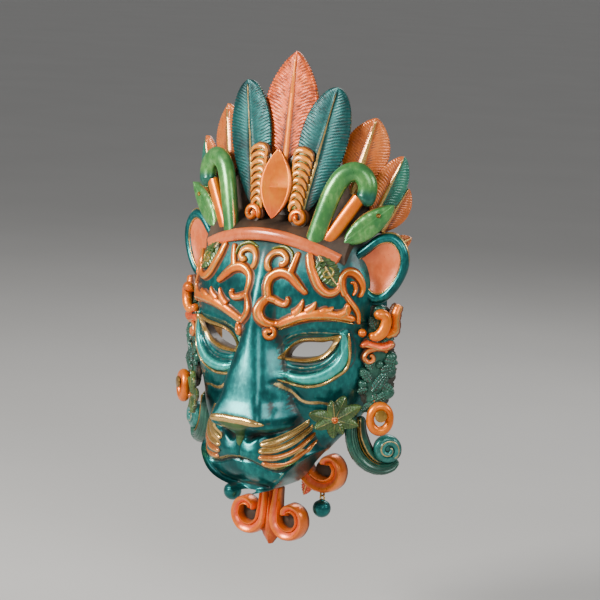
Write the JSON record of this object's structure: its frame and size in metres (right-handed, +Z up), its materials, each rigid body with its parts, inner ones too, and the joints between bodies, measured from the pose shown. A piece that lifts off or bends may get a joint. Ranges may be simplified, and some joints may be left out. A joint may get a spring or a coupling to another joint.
{
  "type": "wall mask",
  "caption": "Carved and painted big-cat face mask with a feather headdress, applied scrolls and leaves, hanging ear rings and chin beads, made to hang on a wall.",
  "frame": {"origin": "mouth of the nail hole in the hanger plate, on the wall plane", "axes": "+Z up along the mask's height, +Y into the wall along the nail, the face looks along -Y, +X to the viewer's right"},
  "size_m": [0.2222, 0.1035, 0.4206],
  "materials": {
    "face_shell": "carved wood under metallic lacquer, edges rubbed with gold, brown patina in the recesses",
    "head_band": "carved wood under metallic lacquer, edges rubbed with gold, brown patina in the recesses",
    "crown_board": "stained wood with brown patina",
    "marquise": "carved wood under metallic lacquer, edges rubbed with gold, brown patina in the recesses",
    "crown_spirals": "carved wood under metallic lacquer, edges rubbed with gold, brown patina in the recesses",
    "feather_centre": "carved wood under metallic lacquer, edges rubbed with gold, brown patina in the recesses",
    "feather_inner_left": "carved wood under metallic lacquer, edges rubbed with gold, brown patina in the recesses",
    "feather_inner_right": "carved wood under metallic lacquer, edges rubbed with gold, brown patina in the recesses",
    "feather_outer_left": "carved wood under metallic lacquer, edges rubbed with gold, brown patina in the recesses",
    "feather_outer_right": "carved wood under metallic lacquer, edges rubbed with gold, brown patina in the recesses",
    "feather_side_left": "carved wood under metallic lacquer, edges rubbed with gold, brown patina in the recesses",
    "feather_side_right": "carved wood under metallic lacquer, edges rubbed with gold, brown patina in the recesses",
    "feather_low_left": "carved wood under metallic lacquer, edges rubbed with gold, brown patina in the recesses",
    "feather_low_right": "carved wood under metallic lacquer, edges rubbed with gold, brown patina in the recesses",
    "feather_tails": "carved wood under metallic lacquer, edges rubbed with gold, brown patina in the recesses",
    "acanthus": "carved wood under metallic lacquer, edges rubbed with gold, brown patina in the recesses",
    "crook_left": "carved wood under metallic lacquer, edges rubbed with gold, brown patina in the recesses",
    "crook_right": "carved wood under metallic lacquer, edges rubbed with gold, brown patina in the recesses",
    "crook_bars": "carved wood under metallic lacquer, edges rubbed with gold, brown patina in the recesses",
    "ear_leaves": "carved wood under metallic lacquer, edges rubbed with gold, brown patina in the recesses",
    "ear_left": "carved wood under metallic lacquer, edges rubbed with gold, brown patina in the recesses",
    "ear_right": "carved wood under metallic lacquer, edges rubbed with gold, brown patina in the recesses",
    "ear_lining_left": "carved wood under metallic lacquer, edges rubbed with gold, brown patina in the recesses",
    "ear_lining_right": "carved wood under metallic lacquer, edges rubbed with gold, brown patina in the recesses",
    "forehead_scroll_left": "carved wood under metallic lacquer, edges rubbed with gold, brown patina in the recesses",
    "forehead_scroll_right": "carved wood under metallic lacquer, edges rubbed with gold, brown patina in the recesses",
    "forehead_spirals": "carved wood under metallic lacquer, edges rubbed with gold, brown patina in the recesses",
    "loop_scrolls": "carved wood under metallic lacquer, edges rubbed with gold, brown patina in the recesses",
    "loop_leaves": "carved wood under metallic lacquer, edges rubbed with gold, brown patina in the recesses",
    "temple_rings": "carved wood under metallic lacquer, edges rubbed with gold, brown patina in the recesses",
    "brow_left": "carved wood under metallic lacquer, edges rubbed with gold, brown patina in the recesses",
    "brow_right": "carved wood under metallic lacquer, edges rubbed with gold, brown patina in the recesses",
    "bridge_curls": "carved wood under metallic lacquer, edges rubbed with gold, brown patina in the recesses",
    "eye_rim_left": "carved wood under metallic lacquer, edges rubbed with gold, brown patina in the recesses",
    "eye_rim_right": "carved wood under metallic lacquer, edges rubbed with gold, brown patina in the recesses",
    "cheek_crescent_left": "carved wood under metallic lacquer, edges rubbed with gold, brown patina in the recesses",
    "cheek_crescent_right": "carved wood under metallic lacquer, edges rubbed with gold, brown patina in the recesses",
    "nose_pad": "carved wood under metallic lacquer, edges rubbed with gold, brown patina in the recesses",
    "whiskers": "carved wood under metallic lacquer, edges rubbed with gold, brown patina in the recesses",
    "flower_left": "carved wood under metallic lacquer, edges rubbed with gold, brown patina in the recesses",
    "flower_right": "carved wood under metallic lacquer, edges rubbed with gold, brown patina in the recesses",
    "side_swirl_left": "carved wood under metallic lacquer, edges rubbed with gold, brown patina in the recesses",
    "side_swirl_right": "carved wood under metallic lacquer, edges rubbed with gold, brown patina in the recesses",
    "foliage_left": "carved wood under metallic lacquer, edges rubbed with gold, brown patina in the recesses",
    "foliage_right": "carved wood under metallic lacquer, edges rubbed with gold, brown patina in the recesses",
    "tail_scroll_left": "carved wood under metallic lacquer, edges rubbed with gold, brown patina in the recesses",
    "tail_scroll_right": "carved wood under metallic lacquer, edges rubbed with gold, brown patina in the recesses",
    "ring_pegs": "aged brass",
    "ear_ring_left": "carved wood under metallic lacquer, edges rubbed with gold, brown patina in the recesses",
    "ear_ring_right": "carved wood under metallic lacquer, edges rubbed with gold, brown patina in the recesses",
    "chin_scroll_left": "carved wood under metallic lacquer, edges rubbed with gold, brown patina in the recesses",
    "chin_scroll_right": "carved wood under metallic lacquer, edges rubbed with gold, brown patina in the recesses",
    "beard_scrolls": "carved wood under metallic lacquer, edges rubbed with gold, brown patina in the recesses",
    "beard_drop": "carved wood under metallic lacquer, edges rubbed with gold, brown patina in the recesses",
    "bead_staples": "aged brass",
    "bead_left": "carved wood under metallic lacquer, edges rubbed with gold, brown patina in the recesses",
    "bead_right": "carved wood under metallic lacquer, edges rubbed with gold, brown patina in the recesses",
    "hanging_batten": "bare pine",
    "hanger_plate": "zinc-plated steel",
    "hanger_screws": "zinc-plated steel"
  },
  "bodies": {
    "mask": {"face_shell": "face_shell", "head_band": "head_band", "crown_board": "crown_board", "marquise": "marquise", "crown_spirals": "crown_spirals", "feather_centre": "feather_centre", "feather_inner_left": "feather_inner_left", "feather_inner_right": "feather_inner_right", "feather_outer_left": "feather_outer_left", "feather_outer_right": "feather_outer_right", "feather_side_left": "feather_side_left", "feather_side_right": "feather_side_right", "feather_low_left": "feather_low_left", "feather_low_right": "feather_low_right", "feather_tails": "feather_tails", "acanthus": "acanthus", "crook_left": "crook_left", "crook_right": "crook_right", "crook_bars": "crook_bars", "ear_leaves": "ear_leaves", "ear_left": "ear_left", "ear_right": "ear_right", "ear_lining_left": "ear_lining_left", "ear_lining_right": "ear_lining_right", "forehead_scroll_left": "forehead_scroll_left", "forehead_scroll_right": "forehead_scroll_right", "forehead_spirals": "forehead_spirals", "loop_scrolls": "loop_scrolls", "loop_leaves": "loop_leaves", "temple_rings": "temple_rings", "brow_left": "brow_left", "brow_right": "brow_right", "bridge_curls": "bridge_curls", "eye_rim_left": "eye_rim_left", "eye_rim_right": "eye_rim_right", "cheek_crescent_left": "cheek_crescent_left", "cheek_crescent_right": "cheek_crescent_right", "nose_pad": "nose_pad", "whiskers": "whiskers", "flower_left": "flower_left", "flower_right": "flower_right", "side_swirl_left": "side_swirl_left", "side_swirl_right": "side_swirl_right", "foliage_left": "foliage_left", "foliage_right": "foliage_right", "tail_scroll_left": "tail_scroll_left", "tail_scroll_right": "tail_scroll_right", "ring_pegs": "ring_pegs", "chin_scroll_left": "chin_scroll_left", "chin_scroll_right": "chin_scroll_right", "beard_scrolls": "beard_scrolls", "beard_drop": "beard_drop", "bead_staples": "bead_staples", "hanging_batten": "hanging_batten", "hanger_plate": "hanger_plate", "hanger_screws": "hanger_screws"},
    "bead_left": {"bead_left": "bead_left"},
    "bead_right": {"bead_right": "bead_right"},
    "ring_left": {"ear_ring_left": "ear_ring_left"},
    "ring_right": {"ear_ring_right": "ear_ring_right"}
  },
  "joints": [
    {"name": "bead_right_swing", "type": "hinge", "parent": "mask", "child": "bead_right", "pos_m": [0.045, -0.022, -0.191], "axis": [0, 1, 0], "range_deg": [-30, 30]},
    {"name": "bead_left_swing", "type": "hinge", "parent": "mask", "child": "bead_left", "pos_m": [-0.045, -0.022, -0.191], "axis": [0, 1, 0], "range_deg": [-30, 30]},
    {"name": "ring_right_swing", "type": "hinge", "parent": "mask", "child": "ring_right", "pos_m": [0.09822, -0.02539, -0.113], "axis": [-0.6428, 0.766, 0], "range_deg": [-30, 30]},
    {"name": "ring_left_swing", "type": "hinge", "parent": "mask", "child": "ring_left", "pos_m": [-0.09822, -0.02539, -0.113], "axis": [0.6428, 0.766, 0], "range_deg": [-30, 30]}
  ]
}
